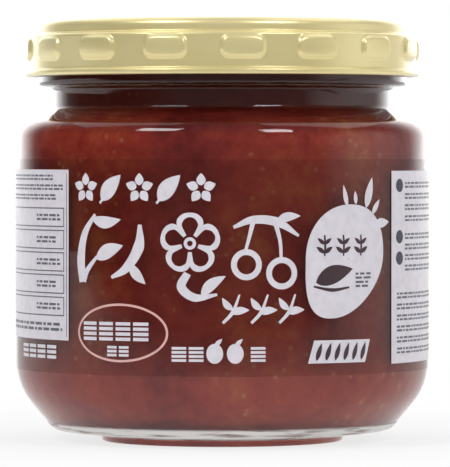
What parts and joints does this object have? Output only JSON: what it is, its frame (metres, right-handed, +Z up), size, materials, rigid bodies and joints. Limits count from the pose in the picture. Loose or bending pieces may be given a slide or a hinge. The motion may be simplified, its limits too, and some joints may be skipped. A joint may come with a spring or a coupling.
{
  "type": "jam jar",
  "caption": "Small round glass jar full of dark fruit jam, with a gold twist-off lid and a clear printed wrap label.",
  "frame": {"origin": "centre of the jar's foot, on the surface that it stands on", "axes": "+Z up along the jar's axis, the label's front towards -Y, the label's seam at +Y"},
  "size_m": [0.069, 0.0689, 0.0701],
  "materials": {
    "glass_jar": "clear, polished",
    "jam": "wet, dark red, slightly cloudy",
    "lid": "gold lacquer, semi-gloss",
    "label": "clear film with white print"
  },
  "bodies": {
    "root": {"glass_jar": "glass_jar", "jam": "jam", "lid": "lid", "label": "label"}
  },
  "joints": []
}
